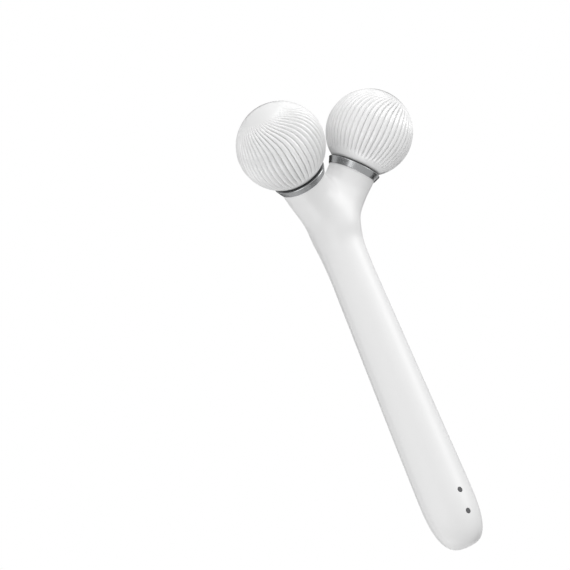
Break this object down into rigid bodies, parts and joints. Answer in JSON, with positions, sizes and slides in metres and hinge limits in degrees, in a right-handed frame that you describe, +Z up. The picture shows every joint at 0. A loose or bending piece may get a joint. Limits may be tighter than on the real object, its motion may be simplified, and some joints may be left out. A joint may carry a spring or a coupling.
{
  "type": "facial toning device",
  "caption": "Y-shaped white hand-held face roller: a tapered handle with a bent, forked head, ribbed roller balls on polished conical collars, and a vibration drive inside.",
  "frame": {"origin": "centre of the bounding box at the level of the surface that the part lies on, skin side down, on both balls and the tip of its tail", "axes": "+X runs from the tail to the balls, +Y to the left ball as seen from above with the balls ahead, +Z up, out of the front side"},
  "size_m": [0.1593, 0.0672, 0.0347],
  "materials": {
    "shell_front": "satin white moulded plastic",
    "shell_back": "satin white moulded plastic",
    "ball_skin": "white, semi-gloss, finely ribbed",
    "collar": "polished",
    "button": "satin white",
    "contacts": "dark plated",
    "block": "black moulded",
    "frame": "dark grey moulded",
    "board": "green laminate",
    "chips": "black packages",
    "led": "clear amber lens",
    "screws": "zinc plated",
    "cell_wrap": "blue shrink sleeve",
    "nickel": "bright nickel strip",
    "switch": "pressed can",
    "stem": "black",
    "silicone": "translucent silicone",
    "motor_steel": "drawn can",
    "sleeve_rubber": "soft black",
    "shaft_steel": "ground",
    "weight": "sintered heavy metal",
    "wires": "insulated lead",
    "carrier": "grey glass filled",
    "nuts": "zinc plated",
    "axle_steel": "ground",
    "washer": "natural acetal",
    "clip_steel": "spring steel",
    "hub": "light grey moulded",
    "bush": "natural acetal"
  },
  "bodies": {
    "handle": {"front_shell": "shell_front", "back_shell": "shell_back", "inner_frame": "frame", "circuit_board": "board", "board_screws": "screws", "board_chips": "chips", "status_led": "led", "cell": "cell_wrap", "cell_tabs": "nickel", "tact_switch": "switch", "button_seal": "silicone", "motor_can": "motor_steel", "motor_cradle": "sleeve_rubber", "contact_block": "block", "charging_contacts": "contacts", "contact_seals": "silicone", "wires": "wires", "axle_carriers": "carrier", "axle_nuts": "nuts", "collar_left": "collar", "collar_right": "collar", "axle_left": "axle_steel", "axle_right": "axle_steel", "thrust_washers": "washer", "axle_clips": "clip_steel"},
    "ball_left": {"ball_shell_left": "ball_skin", "ball_hub_left": "hub", "ball_bushes_left": "bush"},
    "ball_right": {"ball_shell_right": "ball_skin", "ball_hub_right": "hub", "ball_bushes_right": "bush"},
    "rotor": {"motor_shaft": "shaft_steel", "eccentric_weight": "weight"},
    "button": {"power_button": "button", "switch_stem": "stem"}
  },
  "joints": [
    {"name": "ball_left_roll", "type": "hinge", "parent": "handle", "child": "ball_left", "pos_m": [0.06477, 0.0186, 0.015], "axis": [0.7655, 0.5299, -0.3649], "continuous": true},
    {"name": "ball_right_roll", "type": "hinge", "parent": "handle", "child": "ball_right", "pos_m": [0.06477, -0.0186, 0.015], "axis": [0.7655, -0.5299, -0.3649], "continuous": true},
    {"name": "motor_spin", "type": "hinge", "parent": "handle", "child": "rotor", "pos_m": [0.03594, 0, 0.02478], "axis": [0.9868, 0, 0.1619], "continuous": true},
    {"name": "button_press", "type": "slide", "parent": "handle", "child": "button", "axis": [0.1619, 0, -0.9868], "range_m": [0, 0.0003], "stiffness_N_per_m": 4000}
  ]
}
